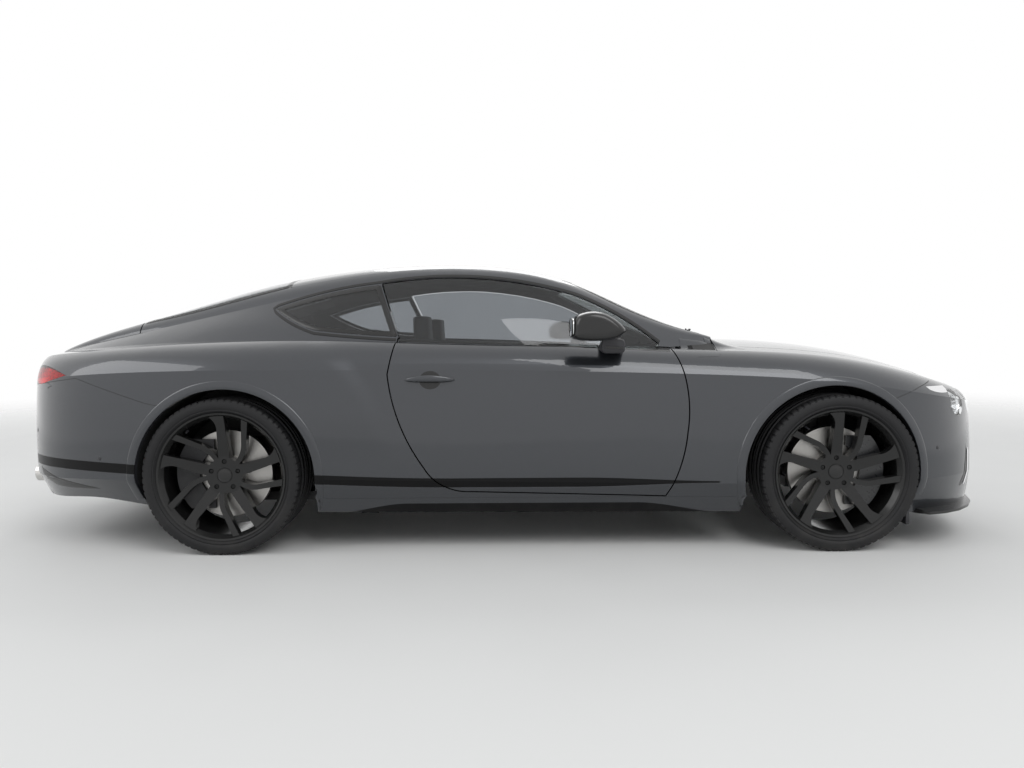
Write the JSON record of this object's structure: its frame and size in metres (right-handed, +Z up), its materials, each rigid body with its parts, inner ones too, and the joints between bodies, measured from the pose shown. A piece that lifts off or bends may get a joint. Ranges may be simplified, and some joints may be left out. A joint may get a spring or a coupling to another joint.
{
  "type": "two-door grand touring coupe",
  "caption": "Two-door coupe with opening doors, bonnet and boot lid, steered front wheels and spoked alloy wheels that turn, standing on its tyres.",
  "frame": {"origin": "on the ground under the middle of the bounding box", "axes": "+X forward to the nose, +Y to the left side of the car, +Z up"},
  "size_m": [4.895, 2.187, 1.3964],
  "materials": {
    "body_paint": "dark grey metallic, gloss clear coat",
    "gloss_black": "gloss",
    "trim_black": "satin",
    "liner_black": "matt",
    "wheel_black": "gloss",
    "tyre": "matt",
    "brake_iron": "machined",
    "caliper": "satin",
    "glass_clear": "polished, lightly tinted",
    "lamp_clear": "polished",
    "lamp_red": "polished",
    "chassis": "satin",
    "engine_metal": "cast",
    "leather": "grained",
    "steel_bright": "polished"
  },
  "bodies": {
    "body": {"arch_liners": "liner_black", "body_side_left": "body_paint", "body_side_right": "body_paint", "cowl_panel": "trim_black", "dashboard": "leather", "engine_block": "engine_metal", "exhaust": "steel_bright", "floor_pan": "chassis", "front_axle": "chassis", "front_bumper": "body_paint", "front_seats": "leather", "front_wing_left": "body_paint", "front_wing_right": "body_paint", "grille": "gloss_black", "headlamps": "lamp_clear", "lower_intake": "trim_black", "quarter_windows": "glass_clear", "rear_axle": "chassis", "rear_bumper": "body_paint", "rear_diffuser": "trim_black", "rear_seat": "leather", "rear_window": "glass_clear", "roof_panel": "body_paint", "sills": "trim_black", "steering_wheel": "leather", "tail_lamps": "lamp_red", "windscreen": "glass_clear"},
    "bonnet": {"bonnet": "body_paint"},
    "boot_lid": {"boot_lid": "body_paint"},
    "door_left": {"door_left": "body_paint", "door_glass_left": "glass_clear", "mirror_left": "gloss_black"},
    "front_knuckle_left": {"front_knuckle_left": "caliper"},
    "wheel_front_left": {"wheel_front_left": "wheel_black", "tyre_front_left": "tyre", "brake_disc_front_left": "brake_iron"},
    "wheel_rear_left": {"wheel_rear_left": "wheel_black", "tyre_rear_left": "tyre", "brake_disc_rear_left": "brake_iron"},
    "door_right": {"door_right": "body_paint", "door_glass_right": "glass_clear", "mirror_right": "gloss_black"},
    "front_knuckle_right": {"front_knuckle_right": "caliper"},
    "wheel_front_right": {"wheel_front_right": "wheel_black", "tyre_front_right": "tyre", "brake_disc_front_right": "brake_iron"},
    "wheel_rear_right": {"wheel_rear_right": "wheel_black", "tyre_rear_right": "tyre", "brake_disc_rear_right": "brake_iron"}
  },
  "joints": [
    {"name": "steer_left", "type": "hinge", "parent": "body", "child": "front_knuckle_left", "pos_m": [1.5465, 0.82, 0.364], "axis": [0, 0, 1], "range_deg": [-33, 33]},
    {"name": "wheel_spin_front_left", "type": "hinge", "parent": "front_knuckle_left", "child": "wheel_front_left", "pos_m": [1.5465, 0.82, 0.364], "axis": [0, 1, 0], "continuous": true},
    {"name": "wheel_spin_rear_left", "type": "hinge", "parent": "body", "child": "wheel_rear_left", "pos_m": [-1.3015, 0.81, 0.364], "axis": [0, 1, 0], "continuous": true},
    {"name": "door_left_hinge", "type": "hinge", "parent": "body", "child": "door_left", "pos_m": [0.853, 0.95, 0.6], "axis": [0, 0, -1], "range_deg": [0, 65]},
    {"name": "steer_right", "type": "hinge", "parent": "body", "child": "front_knuckle_right", "pos_m": [1.5465, -0.82, 0.364], "axis": [0, 0, 1], "range_deg": [-33, 33]},
    {"name": "wheel_spin_front_right", "type": "hinge", "parent": "front_knuckle_right", "child": "wheel_front_right", "pos_m": [1.5465, -0.82, 0.364], "axis": [0, 1, 0], "continuous": true},
    {"name": "wheel_spin_rear_right", "type": "hinge", "parent": "body", "child": "wheel_rear_right", "pos_m": [-1.3015, -0.81, 0.364], "axis": [0, 1, 0], "continuous": true},
    {"name": "door_right_hinge", "type": "hinge", "parent": "body", "child": "door_right", "pos_m": [0.853, -0.95, 0.6], "axis": [0, 0, 1], "range_deg": [0, 65]},
    {"name": "bonnet_hinge", "type": "hinge", "parent": "body", "child": "bonnet", "pos_m": [1.014, 0, 1], "axis": [0, -1, 0], "range_deg": [0, 50]},
    {"name": "boot_lid_hinge", "type": "hinge", "parent": "body", "child": "boot_lid", "pos_m": [-1.861, 0, 1.11], "axis": [0, 1, 0], "range_deg": [0, 70]}
  ],
  "couplings": [
    {"joint": "steer_right", "follows": "steer_left", "ratio": 1}
  ]
}
